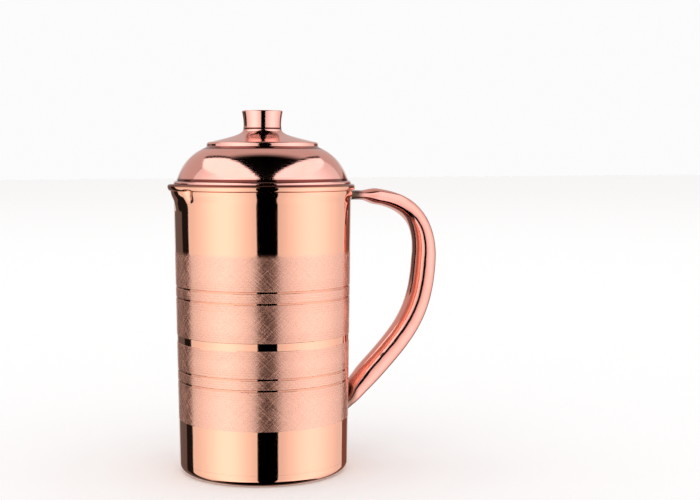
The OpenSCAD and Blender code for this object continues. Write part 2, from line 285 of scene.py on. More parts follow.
def wall_section(sizes):
    """The wall's closed section: up its outside, over the wire, down inside the roll, and back inside."""
    low, low_top, high, high_top = line_heights(sizes)
    grooves = joined(*(groove(z, width, sizes.groove_depth) for z, width in (
        (low, sizes.line_width), (low_top, sizes.line_width), (sizes.belt_middle, sizes.belt_width),
        (high, sizes.line_width), (high_top, sizes.line_width))))
    swell_z = np.linspace(BAND_Z - sizes.flare_height, ROLL_Z, 48)
    flare = np.stack([wall_r(swell_z) + swell(swell_z, sizes), swell_z], axis=1)
    roll = arc((ROLL_X, ROLL_Z), WIRE_R, 180, 0, 18)
    leg = ROLL_X + WIRE_R
    tuck = cubic([(leg, ROLL_Z), (leg, ROLL_Z - 0.6), (leg, BAND_Z + 0.9), (leg - 0.25, BAND_Z + 0.35)], 8)
    start = [[wall_r(SEAM_Z), SEAM_Z]]
    face = finer(joined(start, grooves, flare, roll, tuck), 1.5)
    back = beside(finer(joined(start, flare, roll, tuck), 1.5), SHEET)
    edge = sheet_edge(face[-1], back[-1])
    return np.concatenate([face, edge, back[::-1]]), len(face)


def lip_bend(sizes):
    """The pressing that makes the lip, as a change of radius and height.

    The push is the reach times the sum of a plan and a rise less 1, never below 0. The plan is a rounded V
    in the angle from -X: 1 in the middle, 0 at the half angle. The rise runs from 0 at the lip's foot to
    1 at the rim. Beside the lip the wall is drawn in by two small hollows that fade downwards.
    """
    half = math.radians(sizes.lip_half_angle)
    top = math.hypot(1, sizes.lip_point)
    foot = RIM_TOP - sizes.lip_height
    reach = -WALL_LOW[0] - WALL_HIGH[1]

    def bend(radius, height, angle):
        u = (angle - math.pi) / half
        plan = (top - np.sqrt(u * u + sizes.lip_point ** 2)) / (top - sizes.lip_point)
        rise = (height - foot) / (ROLL_Z - foot)
        push = reach * (plan + np.minimum(rise, 1) - 1)
        softness = 0.05 + sizes.lip_softness * smooth(rise)
        push = soft_max(push, 0 * push, softness)
        push = np.minimum(push, reach)
        hollow = np.exp(-((np.abs(u) - sizes.hollow_place) / 0.12) ** 2)
        hollow = hollow * smooth((height - BAND_Z + 7.5) / 4) * (1 - smooth((height - BAND_Z + 0.5) / 1.5))
        lift = (WALL_HIGH[2] - RIM_TOP) * smooth(push / reach) * smooth((rise - 0.85) / 0.15)
        return radius + push - sizes.lip_hollow * hollow, height + lift

    return bend


def pan_section(sizes):
    """The pan: a raised middle, a flat standing ring, a round corner and a flange inside the wall."""
    radius, sheet, rise = sizes.pan_corner, sizes.pan_sheet, sizes.panel_rise
    corner = (wall_r(radius) - radius, radius)
    ring = corner[0] - sizes.stand_width
    lap = SHEET + BRAZE_GAP
    seam, top = wall_r(SEAM_Z), wall_r(PAN_HIGH[2])
    return joined(
        [[0, rise]], finer(np.array([[4, rise], [ring - 4, rise]]), 4),
        cubic([(ring - 4, rise), (ring - 2, rise), (ring - 2, 0), (ring, 0)], 14),
        arc(corner, radius, -90, 0, 24), [[seam, SEAM_Z - BRAZE_GAP], [seam - lap, SEAM_Z - BRAZE_GAP]],
        [[top - lap, PAN_HIGH[2]]],
        [[top - lap - sheet, PAN_HIGH[2]], [seam - lap - sheet, SEAM_Z - 0.8]],
        arc(corner, radius - sheet, 0, -90, 16),
        cubic([(ring, sheet), (ring - 2, sheet), (ring - 2, rise + sheet), (ring - 4, rise + sheet)], 14),
        [[4, rise + sheet], [0, rise + sheet]])


# ---- shapes of the handle -------------------------------------------------------------------

def plate_r(z):
    """Outside radius of the foot plates, as a packed plate lies on the wall."""
    return wall_r(z) + TOP_FOOT_HIGH[0] - wall_r(TOP_FOOT_HIGH[2])


def handle_line(sizes):
    """The handle's middle line in its own plane, as three cubics: over the top, down the grip, and back."""
    grip, top, foot = sizes.grip_distance, sizes.handle_top, sizes.handle_foot
    start, end = plate_r(top), plate_r(foot)
    crest = (grip, top - 35)
    knee = (end + 14.2, foot + 12.3)
    return joined(
        cubic([(start, top), (grip - 21.5, top + 0.8), (grip + 0.4, top - 6), crest], 70),
        cubic([crest, (grip - 1.6, foot + 48), (grip - 11, foot + 37.5), knee], 70),
        cubic([knee, (end + 10.2, foot + 8), (end + 5, foot + 3.4), (end, foot - 2.6)], 30))


def handle_rings(sizes):
    """Rounded rings along the handle's middle line.

    At each share of the line's length a ring has a half thickness in the handle's plane and a half width
    across it, eased between the rows of a short list. A ring is a superellipse, square to the line, and
    towards both ends it turns until it faces the wall and is laid on the plate.
    """
    line = handle_line(sizes)
    step = np.linalg.norm(np.diff(line, axis=0), axis=1)
    run = np.concatenate([[0], np.cumsum(step)])
    share = run / run[-1]
    thick, wide = sizes.grip_thickness, sizes.grip_width
    stations = np.array([
        [0.0, 3.9, 7.4], [0.02, 2.6, 6.0], [0.05, 2.7, 6.1], [0.11, thick * 0.34, wide * 0.43],
        [0.25, thick * 0.385, wide * 0.46], [0.45, thick / 2, wide / 2], [0.86, thick / 2, wide / 2],
        [0.95, thick * 0.43, wide * 0.49], [1.0, thick * 0.37, wide * 0.47]])
    index = np.clip(np.searchsorted(stations[:, 0], share, side="right") - 1, 0, len(stations) - 2)
    low, high = stations[index], stations[index + 1]
    ease = smooth((share - low[:, 0]) / (high[:, 0] - low[:, 0]))[:, None]
    half = low[:, 1:] + (high[:, 1:] - low[:, 1:]) * ease

    along = np.gradient(line, axis=0)
    heading = np.unwrap(np.arctan2(along[:, 1], along[:, 0]))
    heading = heading * smooth(run / 6)
    back = smooth((run[-1] - run) / 15)
    heading = -math.pi + (heading + math.pi) * back
    out = np.stack([-np.sin(heading), np.cos(heading)], axis=1)

    angle = np.arange(72)[None, :] / 72 * TAU
    power = 2 / sizes.roundness
    across = powered(np.cos(angle), power) * half[:, :1]
    side = -powered(np.sin(angle), power) * half[:, 1:]
    radius = line[:, :1] + out[:, :1] * across
    height = line[:, 1:] + out[:, 1:] * across
    face = np.sqrt((plate_r(height) + 0.02) ** 2 - side ** 2)
    lay = np.maximum(1 - run / 1.5, 1 - (run[-1] - run) / 1.5).clip(0, 1)[:, None]
    radius = radius + (face - radius) * lay
    radius = np.maximum(radius, face - 0.01 * (1 - lay))
    return np.stack([radius, side, height], axis=2)


def handle_surface(sizes):
    """The handle's rings skinned, with a pole in the middle of each end."""
    rings = handle_rings(sizes)
    return stacked(rings, np.stack([rings[0].mean(axis=0), rings[-1].mean(axis=0)]))


def plate_surface(low, high, sizes):
    """A plate on the wall between two corners of a box: square above, half round below, and crowned.

    Its outline is a superellipse in two halves, and its rings are that outline times a share. The back
    lies on the wall, and the face stands off by a thickness that falls to nothing at the edge.
    """
    half = (high[1] - low[1]) / 2
    middle = low[2] + half
    above = high[2] - middle
    angle = np.arange(96) / 96 * TAU
    power = np.where(np.sin(angle) > 0, 1 / 3, 1.0)
    y = half * powered(np.cos(angle), power)
    z = np.where(np.sin(angle) > 0, above, half) * powered(np.sin(angle), power)
    share = np.sin(np.linspace(0, math.pi / 2, 22)[1:])
    shares = np.concatenate([share, share[-2::-1]])
    stand = np.concatenate([0 * share, (1 - share[-2::-1] ** 6) ** 0.5])
    thickness = sizes.plate_thickness
    y = shares[:, None] * y
    z = middle + shares[:, None] * z
    clear = 0.03
    gap = clear + (thickness - clear) * stand[:, None]
    x = np.sqrt((wall_r(z) + gap) ** 2 - y ** 2)
    ends = np.array([[wall_r(middle) + clear, 0, middle], [wall_r(middle) + thickness, 0, middle]])
    return stacked(np.stack([x, y, z], axis=2), ends)


# ---- shapes of the lid ----------------------------------------------------------------------

def dome_section(sizes):
    """The lid's closed section: out of its rolled edge, over dome, ridge and neck, and back inside."""
    inner = sizes.lid_roll - SHEET
    roll = (DOME_HIGH[1] - sizes.lid_roll, DOME_LOW[2] + sizes.lid_roll)
    foot = (roll[0] - inner, roll[1] + sizes.lid_roll + 0.5)
    neck_top = DOME_HIGH[2]
    ridge, bead, neck = sizes.ridge_radius, sizes.ridge_bead, sizes.neck_radius
    ridge_z = neck_top - sizes.neck_height
    crown = ridge_z + bead + 0.25
    drop, reach = ridge_z - foot[1], foot[0] - ridge
    face = joined(
        arc(roll, inner, 95, -180, 26),
        cubic([foot, (ridge + reach * 0.836, ridge_z - drop * 0.52),
               (ridge + reach * 0.53, ridge_z - drop * 0.2), (ridge + 0.6, ridge_z)], 60),
        arc((ridge + 0.9, ridge_z + 0.85), 0.9, 238, 180, 8), arc((ridge - bead, crown), bead, 0, 90, 14),
        cubic([(ridge - bead, crown + bead), (neck + 9, crown + bead + 2.5), (neck + 0.5, neck_top - 3.5),
               (neck, neck_top - 0.7)], 44),
        arc((neck - 0.6, neck_top - 0.6), 0.6, 10, 90, 7), [[sizes.screw_hole, neck_top]])
    back = beside(face, SHEET)
    return np.concatenate([face, back[::-1], sheet_edge(back[0], face[0])])


def ring_section():
    """The locating ring's closed section: a short tube with its lower edge rounded."""
    outer, low, high = RING_HIGH[1], RING_LOW[2], RING_HIGH[2]
    edge = arc((outer - SHEET / 2, low + SHEET / 2), SHEET / 2, 180, 360, 9)
    return joined(edge, finer(np.array([[outer, low + 1], [outer, high]]), 1.5),
                  finer(np.array([[outer - SHEET, high], [outer - SHEET, low + 1]]), 1.5))


def knob_section(sizes):
    """The knob: a tumbler, open below, whose side leans out from a waist to its closed top."""
    foot_z, top = KNOB_LOW[2], KNOB_HIGH[2]
    height = top - foot_z
    wide, waist, edge, sheet = KNOB_HIGH[1], sizes.knob_waist, 0.7, SHEET
    foot = sizes.neck_radius
    side = cubic([(foot, foot_z), (waist, foot_z + height * 0.15), (waist + 0.2, foot_z + height * 0.5),
                  (wide, top - edge)], 40)
    under = top - sheet
    hollow = cubic([(wide - edge - sheet, under), (wide - 1.2, under - 1.5),
                    (waist - sheet, foot_z + height * 0.45), (foot - sheet, foot_z)], 24)
    return joined([[0, under]], [[wide - edge - sheet - 1, under]], hollow, side,
                  arc((wide - edge, top - edge), edge, 0, 90, 10), [[wide - edge - 3, top], [0, top]])


# ---- finishes -------------------------------------------------------------------------------

class Value:
    """A node's output: each sum on it adds a Math node to its finish."""

    def __init__(self, finish, socket):
        self.finish, self.socket = finish, socket

    def sum(self, operation, *others):
        """The sum of this value and the others, in that order."""
        return self.finish.math(operation, self, *others)

    def __add__(self, other):
        return self.sum("ADD", other)

    def __sub__(self, other):
        return self.sum("SUBTRACT", other)

    def __rsub__(self, other):
        return self.finish.math("SUBTRACT", other, self)

    def __mul__(self, other):
        return self.sum("MULTIPLY", other)

    def __abs__(self):
        return self.sum("ABSOLUTE")

    __radd__, __rmul__ = __add__, __mul__

    def soft(self, low, high):
        """0 at low, 1 at high, with a soft step between."""
        return self.finish.add("ShaderNodeMapRange", {"interpolation_type": "SMOOTHSTEP"},
                               {"Value": self, "From Min": low, "From Max": high})

    def near(self, middle, reach, edge=0.1):
        """1 within reach of the middle, and 0 beyond it by an edge."""
        return 1 - abs(self - middle).soft(reach, reach + edge)


class Finish:
    """The nodes of a new material or world, and the one way in which they are added."""

    def __init__(self, name, kind="materials"):
        self.owner = getattr(bpy.data, kind).new(name)
        self.owner.use_nodes = True
        self.tree = self.owner.node_tree
        self.tree.nodes.clear()

    def add(self, kind, settings=None, sockets=None, output=0):
        """Adds a node: its settings first, then a value or a link for each named or numbered socket."""
        node = self.tree.nodes.new(kind)
        for name, value in (settings or {}).items():
            setattr(node, name, value)
        for name, value in (sockets or {}).items():
            if isinstance(value, Value):
                self.tree.links.new(value.socket, node.inputs[name])
            else:
                node.inputs[name].default_value = value
        return Value(self, node.outputs[output]) if node.outputs else None

    def math(self, operation, *terms):
        return self.add("ShaderNodeMath", {"operation": operation}, dict(enumerate(terms)))

    def split(self, vector):
        """The three parts of a vector."""
        return [self.add("ShaderNodeSeparateXYZ", None, {0: vector}, axis) for axis in "XYZ"]

    def place(self):
        """The place on the piece, as a vector in metres and as three values in millimetres."""
        point = self.add("ShaderNodeTexCoord", output="Object")
        return point, [part * (1 / MM) for part in self.split(point)]

    def stored(self, name):
        """A value that the piece holds at each of its points."""
        return self.add("ShaderNodeAttribute", {"attribute_name": name}, None, "Fac")

    def vector(self, x, y, z):
        return self.add("ShaderNodeCombineXYZ", sockets={0: x, 1: y, 2: z})

    def wound(self, x, y, z, pitch):
        """A place wound round the jug by pitch radians for each millimetre up, drawn out along the winding."""
        turn = z * pitch
        cosine, sine = turn.sum("COSINE"), turn.sum("SINE")
        return self.vector((x * cosine - y * sine) * 0.9, (x * sine + y * cosine) * 0.9, z * 0.12)

    def noise(self, point, scale, detail=2.0, roughness=0.5):
        """Clouds of values round a half."""
        return self.add("ShaderNodeTexNoise", None,
                        {"Vector": point, "Scale": scale, "Detail": detail, "Roughness": roughness}, "Fac")

    def mix(self, share, first, second):
        """A colour between two others."""
        return self.add("ShaderNodeMix", {"data_type": "RGBA"}, {0: share, 6: first, 7: second}, 2)

    def bump(self, height, distance, below=None):
        """The direction that a surface faces with a height on it, or on the bump below."""
        sockets = {"Height": height, "Distance": distance, "Strength": 1.0}
        return self.add("ShaderNodeBump", None, sockets if below is None else sockets | {"Normal": below})

    def metal(self, haze=None, **sockets):
        """Ends the material with a metal whose sockets are given by their names with _ for spaces.

        haze is the share of the surface that is a dull metal of the same colour.
        """
        given = {"Metallic": 1.0} | {name.replace("_", " "): value for name, value in sockets.items()}
        shader = self.add("ShaderNodeBsdfPrincipled", None, given)
        if haze is not None:
            dull = self.add("ShaderNodeBsdfPrincipled", None, given | {"Roughness": 0.8})
            shader = self.add("ShaderNodeMixShader", None, {0: haze, 1: shader, 2: dull})
        return self.ended(shader)

    def ended(self, shader, output="ShaderNodeOutputMaterial"):
        """The material or world, with the shader as its surface."""
        self.add(output, None, {"Surface": shader})
        return self.owner


def tint(colour, share):
    """The colour with its light scaled, as a shader takes it."""
    return [c * share for c in colour] + [1.0]


def wall_finish(look, sizes):
    """Copper in bands: satin between a polished foot and a polished neck, cut by polished lines and a belt.

    The satin has fine turning marks, which run round, a faint slanted hatch and a share of dull metal. Rings
    show faintly beside the lines and the belt. Inside, the copper is dull and deep.
    """
    finish = Finish("Copper_wall")
    point, (x, y, z) = finish.place()
    inside = finish.stored("inside")
    satin = z.soft(sizes.satin_low - 0.2, sizes.satin_low + 0.3)
    satin = satin * (1 - z.soft(sizes.satin_high - 1.5, sizes.satin_high + 2))
    lines = sum((z.near(height, sizes.line_width / 2) for height in line_heights(sizes)), 0.0)
    satin = satin * (1 - lines) * (1 - z.near(sizes.belt_middle, sizes.belt_width / 2))
    satin = (satin + inside).sum("MINIMUM", 1.0)

    marks = finish.noise(finish.vector(x * 0.02, y * 0.02, z), 2.6, 3.0, 0.6)
    slant = 1 / 49
    strokes = [finish.noise(finish.wound(x, y, z, pitch), 1.0, 2.0, 0.6) for pitch in (-slant, slant)]
    scratched = (strokes[0].soft(0.42, 0.68) + strokes[1].soft(0.42, 0.68)) * 0.5
    ring_pitch, half_gap = 1.3, sizes.pair_gap / 2
    rings = (z * (TAU / ring_pitch)).sum("SINE") * 0.5 + 0.5
    cluster = z.near(sizes.lower_pair + half_gap, 6, 4) + z.near(sizes.upper_pair + half_gap, 6, 4)
    cluster = cluster + z.near(sizes.belt_middle, 5, 4)

    rough = look.satin * (0.75 + scratched * 0.5 + (marks - 0.5) * 0.3)
    roughness = look.polish + (rough - look.polish) * satin
    colour = finish.mix(satin * (1 - inside), tint(look.copper, 1.0), tint(look.satin_copper, 1.0))
    worn = (0.12 - scratched * 0.12) + marks.soft(0.5, 0.75) * 0.06 + rings * cluster * 0.13
    colour = finish.mix(worn * satin, colour, tint(look.deep_copper, 0.7))
    colour = finish.mix(lines * 0.4, colour, tint(look.deep_copper, 0.7))
    colour = finish.mix(inside * 0.6, colour, tint(look.deep_copper, 1.0))
    # Painted shade: the top of the rim's roll, in the gap under the lid, is darkened towards the dark gap
    # colour.
    colour = finish.mix(z.soft(RIM_TOP - 1.4, RIM_TOP - 0.7) * 0.9, colour, tint(look.crevice, 1.0))
    wave = finish.bump(finish.noise(point, 26.0, 1.0), 0.0004 * look.waviness)
    cut = finish.bump((marks * 0.7 + scratched * 0.35 + rings * cluster * 0.5) * satin, 0.00006, wave)
    haze = satin * (0.18 + scratched * 0.24)
    return finish.metal(haze, Base_Color=colour, Roughness=roughness, Normal=cut)


def lid_finish(look):
    """Polished copper with fine turning marks and a slight wave, with painted shade in its creases and at its
    joins.
    """
    finish = Finish("Copper_lid")
    point, (x, y, z) = finish.place()
    reach = (x * x + y * y).sum("SQRT")
    marks = finish.noise(finish.vector(reach, z, 0.0), 1.6, 2.0, 0.5)
    clouds = finish.noise(point, 45.0, 3.0, 0.6)
    roughness = look.polish + 0.03 + (clouds - 0.5) * 0.08
    deep = tint(look.deep_copper, 1.0)
    colour = finish.mix(clouds.soft(0.5, 0.8) * 0.18, tint(look.lid_copper, 1.0), deep)
    edge, top = DOME_LOW[2], DOME_HIGH[2]
    # Painted shade: dark bands at the dome's foot, under its rolled edge, round the knob's foot and under the
    # ridge.
    shaded_folds = z.near(edge + 3.1, 0.55, 0.5) + (1 - z.soft(edge + 0.5, edge + 1.1))
    shaded_folds = shaded_folds + z.near(KNOB_LOW[2], 0.3, 0.4) + z.near(top - 10.6, 0.5, 0.5)
    colour = finish.mix(shaded_folds.sum("MINIMUM", 1.0) * 0.95, colour, tint(look.crevice, 1.0))
    normal = finish.bump(marks * 0.1 + finish.noise(point, 30.0, 1.0), 0.0003 * look.waviness)
    return finish.metal(Base_Color=colour, Roughness=roughness, Normal=normal)


def handle_finish(look):
    """Polished copper, darkened by heat and filler metal where the handle leaves the wall at the top, and with
    painted shade where its lower end meets the wall.
    """
    finish = Finish("Copper_handle")
    point, (x, _, z) = finish.place()
    clouds = finish.noise(point, 60.0, 4.0, 0.6)
    # drop is the heat and filler stain where the handle leaves the wall at the top. foot is painted shade on
    # the handle's lower end by the wall, in the same near-black colour.
    drop = z.near(TOP_FOOT_HIGH[2] - 4, 9, 4) * (1 - (x + (clouds - 0.5) * 14).soft(54.0, 62.0))
    foot = (1 - (x + (clouds - 0.5) * 8).soft(50.0, 56.0)) * (1 - z.soft(44, 56))
    patina = (drop + foot * 0.7).sum("MINIMUM", 1.0)
    deep = tint(look.deep_copper, 1.0)
    colour = finish.mix(clouds.soft(0.45, 0.8) * 0.2, tint(look.handle_copper, 1.0), deep)
    colour = finish.mix(patina * (0.8 + clouds * 0.3), colour, tint(look.patina, 1.0))
    roughness = look.polish + 0.05 + (clouds - 0.5) * 0.08 + patina * 0.25
    normal = finish.bump(finish.noise(point, 55.0, 2.0), 0.0005 * look.waviness)
    return finish.metal(Base_Color=colour, Roughness=roughness, Normal=normal)


def plain_finish(name, colour, roughness):
    """Rolled or turned metal with faint clouds in its gloss."""
    finish = Finish(name)
    point, _ = finish.place()
    clouds = finish.noise(point, 80.0, 3.0, 0.6)
    shade = finish.mix(clouds.soft(0.4, 0.8) * 0.3, tint(colour, 1.0), tint(colour, 0.7))
    return finish.metal(Base_Color=shade, Roughness=roughness + (clouds - 0.5) * 0.12)


# ---- properties -----------------------------------------------------------------------------

def length(name, description, default, low, high):
    """A length for the sidebar, given in millimetres."""
    return bpy.props.FloatProperty(name=name, description=description, default=default * MM, min=low * MM,
                                   max=high * MM, unit="LENGTH", precision=5)


def number(name, description, default, low, high):
    """A plain number for the sidebar."""
    return bpy.props.FloatProperty(name=name, description=description, default=default, min=low, max=high)


def colour(name, description, default):
    """A colour for the sidebar."""
    return bpy.props.FloatVectorProperty(name=name, description=description, default=default, subtype="COLOR",
                                         size=3, min=0, max=1)


def in_mm(group):
    """The values of a group of properties by name, with every length in millimetres."""
    properties = group.bl_rna.properties
    return SimpleNamespace(**{
        name: getattr(group, name) / MM if properties[name].unit == "LENGTH" else getattr(group, name)
        for name in group.__annotations__})


class BodySizes(bpy.types.PropertyGroup):
    flare: length("Flare", "How far the wall swells under the rim", 0.9, 0, 1.2)
    flare_height: length("Flare height", "Height of the swelling under the rim", 7, 3, 12)
    lower_pair: length("Lower pair", "Height of the lower line of the lower pair", 51.8, 40, 62)
    upper_pair: length("Upper pair", "Height of the lower line of the upper pair", 97.8, 85, 110)
    pair_gap: length("Pair gap", "Distance between the two lines of a pair", 6, 3, 9)
    line_width: length("Line width", "Width of one polished line", 1.1, 0.6, 2)
    belt_middle: length("Belt height", "Height of the middle of the polished belt", 75, 68, 82)
    belt_width: length("Belt width", "Width of the polished belt", 4.2, 2, 6)
    groove_depth: length("Groove depth", "Depth of the lines and the belt", 0.12, 0.05, 0.25)
    satin_low: length("Satin foot", "Height where the satin band starts", 30, 20, 40)
    satin_high: length("Satin top", "Height where the satin band ends", 122.5, 110, 135)
    lip_height: length("Lip height", "Height of the lip, down from the rim", 16, 10, 24)
    lip_half_angle: number("Lip half angle", "Degrees from the middle of the lip to its side", 19, 12, 30)
    lip_point: number("Lip roundness", "How round the lip is, as a share of its half width", 0.3, 0.05, 1)
    lip_softness: length("Lip softness", "Width over which the lip runs into the wall at the rim", 0.7, 0.1, 2)
    lip_hollow: length("Lip hollow", "Depth of the hollows beside the lip", 1.3, 0, 2)
    hollow_place: number("Hollow place", "Their place, as a share of the lip's half angle", 0.95, 0.7, 1.3)
    pan_corner: length("Bottom corner", "Radius of the rounded bottom edge", 4.7, 3, 7)
    pan_sheet: length("Pan sheet", "Thickness of the sheet of the pan", 1, 0.6, 1.6)
    stand_width: length("Standing ring", "Width of the flat ring that the jug stands on", 6.3, 3, 12)
    panel_rise: length("Panel rise", "How far the middle of the bottom is pressed up", 1.5, 0.8, 4)


class HandleSizes(bpy.types.PropertyGroup):
    grip_distance: length("Grip distance", "From the jug's axis to the middle of the grip", 100.6, 92, 115)
    handle_top: length("Top", "Height where the handle leaves the wall", 153, 130, 154)
    handle_foot: length("Foot", "Height where the handle comes back to the wall", 36, 30, 50)
    grip_thickness: length("Grip thickness", "Thickness of the grip in the handle's plane", 13.6, 10, 14)
    grip_width: length("Grip width", "Width of the grip across the handle's plane", 16.4, 12, 16.6)
    roundness: number("Roundness", "2 makes the grip's section an oval, and more makes it squarer", 2.2, 2, 4)
    plate_thickness: length("Plate thickness", "Thickness of the two foot plates", 1.2, 0.8, 1.2)


class LidSizes(bpy.types.PropertyGroup):
    lid_roll: length("Edge roll", "Radius of the lid's rolled edge", 1.3, 1.1, 2)
    ridge_radius: length("Ridge radius", "Radius of the ridge that crowns the dome", 30.9, 24, 38)
    ridge_bead: length("Ridge bead", "Radius of the ridge's rounding", 1.3, 0.8, 2)
    neck_height: length("Neck height", "Height from the ridge's foot to the knob", 10.3, 8, 16)
    neck_radius: length("Neck radius", "Radius of the neck under the knob", 10.7, 8, 14)
    screw_hole: length("Screw hole", "Radius of the hole for the knob's screw", 2.2, 1.7, 2.7)
    knob_waist: length("Knob waist", "Radius of the knob's waist", 10.2, 7.5, 13)


class CopperLook(bpy.types.PropertyGroup):
    copper: colour("Copper", "Colour of polished copper", (0.97, 0.50, 0.35))
    lid_copper: colour("Lid copper", "Colour of the polished lid and knob", (0.97, 0.50, 0.43))
    handle_copper: colour("Handle copper", "Colour of the handle", (0.94, 0.43, 0.36))
    # This colour is painted shade, not tarnish: it darkens the gap between rim and lid and the lid's creases.
    crevice: colour("Crevice", "Colour of the tarnish in narrow gaps", (0.16, 0.03, 0.022))
    satin_copper: colour("Satin copper", "Colour of the satin band", (1.0, 0.575, 0.445))
    deep_copper: colour("Deep copper", "Colour of copper in its hollows and inside", (0.75, 0.26, 0.17))
    # The same near-black colour serves for the heat stain at the handle's top end and for painted shade at its
    # lower end.
    patina: colour("Patina", "Colour of the heat marks by the handle's ends", (0.05, 0.045, 0.03))
    brass: colour("Brass", "Colour of the knob's screw, boss and washer", (0.78, 0.58, 0.30))
    polish: number("Polish roughness", "Roughness of the polished copper", 0.06, 0.02, 0.3)
    satin: number("Satin roughness", "Roughness of the satin band", 0.24, 0.15, 0.6)
    waviness: number("Waviness", "How uneven the hand-beaten sheet is", 1.0, 0, 3)


class StageLook(bpy.types.PropertyGroup):
    floor: colour("Floor", "Colour of the floor", (1.0, 1.0, 1.0))
    backdrop: number("Backdrop", "Brightness behind the jug", 0.97, 0, 2)
    floor_light: number("Floor light", "How much brighter the floor is lit than the backdrop", 0.08, 0, 1)
    left_light: number("Left light", "Brightness of the soft light on the left", 1.55, 0, 10)
    right_light: number("Right light", "Brightness of the soft light on the right", 1.45, 0, 10)
    dim_behind: number("Dim behind", "Brightness behind the jug, as the copper mirrors it", 0.14, 0, 2)
    pale_above: number("Pale above", "Brightness above the jug, as the copper mirrors it", 0.6, 0, 2)
    gap_start: number("Gap start", "Where the dark gap between the lights starts, in degrees", -8, -60, 0)
    gap_end: number("Gap end", "Where the dark gap between the lights ends, in degrees", 18, 0, 60)


# ---- operators ------------------------------------------------------------------------------

def finish_nodes(nodes, material):
    """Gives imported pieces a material, as they are."""
    for node in nodes:
        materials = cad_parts[node].data.materials
        materials.clear()
        materials.append(material)


class MakeBody(bpy.types.Operator):
    """Make the wall with its lip and bands, and the base pan"""
    bl_idname = "copper_jug.make_body"
    bl_label = "Make body"

    def execute(self, context):
        sizes, look = in_mm(context.scene.jug_body), in_mm(context.scene.jug_look)
        section, face_rows = wall_section(sizes)
        # After the face come the sheet's edge and the back of the roll, and only then the inside
        columns, roll_rows = 288, 40
        inside = np.repeat(np.arange(len(section)) >= face_rows + roll_rows, columns)
        copper = wall_finish(look, sizes)
        make_piece("jug_wall", turned(section, columns, lip_bend(sizes)), "jug", ["body_wall"],
                   copper, inside=inside)
        make_piece("jug_base", turned(pan_section(sizes), 240), "jug", ["base_pan"], copper)
        finish_nodes(["rim_wire", "lip_wire"], plain_finish("Copper_wire", look.deep_copper, 0.3))
        return {"FINISHED"}


class MakeHandle(bpy.types.Operator):
    """Make the hollow handle and its two foot plates"""
    bl_idname = "copper_jug.make_handle"
    bl_label = "Make handle"

    def execute(self, context):
        sizes, look = in_mm(context.scene.jug_handle), in_mm(context.scene.jug_look)
        copper = handle_finish(look)
        make_piece("handle_tube", handle_surface(sizes), "jug", ["handle_near_half", "handle_far_half"],
                   copper, sharp=60)
        feet = [("upper_foot", TOP_FOOT_LOW, TOP_FOOT_HIGH), ("lower_foot", LOW_FOOT_LOW, LOW_FOOT_HIGH)]
        for name, low, high in feet:
            plate = plate_surface(low, high, sizes)
            make_piece(name, plate, "jug", [name + "_plate"], copper)
        return {"FINISHED"}


class MakeLid(bpy.types.Operator):
    """Make the domed lid, its locating ring and its knob, and finish the knob's fittings"""
    bl_idname = "copper_jug.make_lid"
    bl_label = "Make lid"

    def execute(self, context):
        sizes, look = in_mm(context.scene.jug_lid), in_mm(context.scene.jug_look)
        copper = lid_finish(look)
        make_piece("lid_cover", turned(dome_section(sizes), 256), "lid", ["lid_dome"], copper)
        make_piece("lid_ring", turned(ring_section(), 200), "lid", ["lid_locating_ring"],
                   plain_finish("Copper_ring", look.deep_copper, 0.3))
        make_piece("lid_knob", turned(knob_section(sizes), 128), "lid", ["knob_shell"], copper)
        brass = plain_finish("Turned_brass", look.brass, 0.25)
        finish_nodes(["knob_boss", "knob_screw", "knob_washer"], brass)
        return {"FINISHED"}


def glow(name, colour):
    """A light-giving material whose brightness is stored in the piece as brightness."""
    finish = Finish(name)
    return finish.ended(finish.add("ShaderNodeEmission", None, {"Color": [*colour, 1.0],
                                                                "Strength": finish.stored("brightness")}))


def soft_light(name, edges, brightness, colour):
    """A sheet of light between two lines of points, seen in the copper and not by the camera.

    Its brightness is given for each pair of points. Places are in metres towards the camera's right,
    towards the camera, and up, from the foot of the jug.
    """
    places = np.concatenate(edges)
    flat = places[:, :1] * RIGHT - places[:, 1:2] * HEADING
    count = len(edges[0])
    mesh = bpy.data.meshes.new(name)
    first = np.arange(count - 1)
    faces = np.stack([first, first + 1, first + 1 + count, first + count], axis=1)
    mesh.from_pydata(np.column_stack([flat, places[:, 2]]).tolist(), [], faces.tolist())
    mesh.attributes.new("brightness", "FLOAT", "POINT").data.foreach_set(
        "value", np.tile(brightness, 2).astype(np.float32))
    mesh.materials.append(glow(name, colour))
    light = bpy.data.objects.new(name, mesh)
    bpy.context.scene.collection.objects.link(light)
    light.visible_camera = light.visible_diffuse = light.visible_shadow = False


def round_the_jug(start, end, height):
    """Points at one height on an upright cylinder of 1 m round the jug, between two angles from the camera."""
    angle = np.radians(np.linspace(start, end, TENT_POINTS))
    return np.column_stack([np.sin(angle), np.cos(angle), np.full(TENT_POINTS, height)])


def tent_side(name, start, end, slant, light, colour):
    """One side of the light tent: an upright wall of light, and a roof whose inner edge slants outwards.

    The wall is brightest a little before half way along: its edge value, plus the rest times the sine squared
    of the way, drawn forward by a power. A dark flap that widens along the way lines the roof's inner edge.
    slant holds points of that edge, as its places at the height of 1.
    """
    share = np.linspace(0, 1, TENT_POINTS)
    brightness = light * (0.58 + 0.42 * np.sin(math.pi * share ** 0.8) ** 2)
    wall_top = round_the_jug(start, end, TENT_TOP)
    soft_light(name + "_wall", [round_the_jug(start, end, TENT_FOOT), wall_top], brightness, colour)
    edge = np.asarray(slant, float) * TENT_TOP
    step = np.concatenate([[0], np.cumsum(np.linalg.norm(np.diff(edge, axis=0), axis=1))])
    along = [np.interp(share * step[-1], step, edge[:, axis]) for axis in (0, 1)]
    inner = np.column_stack([*along, np.full(TENT_POINTS, TENT_TOP)])
    soft_light(name + "_roof", [wall_top, inner], np.full(TENT_POINTS, light * 0.98), colour)
    flap = inner - np.column_stack([np.sign(inner[:, 0]) * 0.07 * share, 0.09 * share, 0 * share])
    soft_light(name + "_flap", [inner, flap], np.full(TENT_POINTS, 0.01), colour)


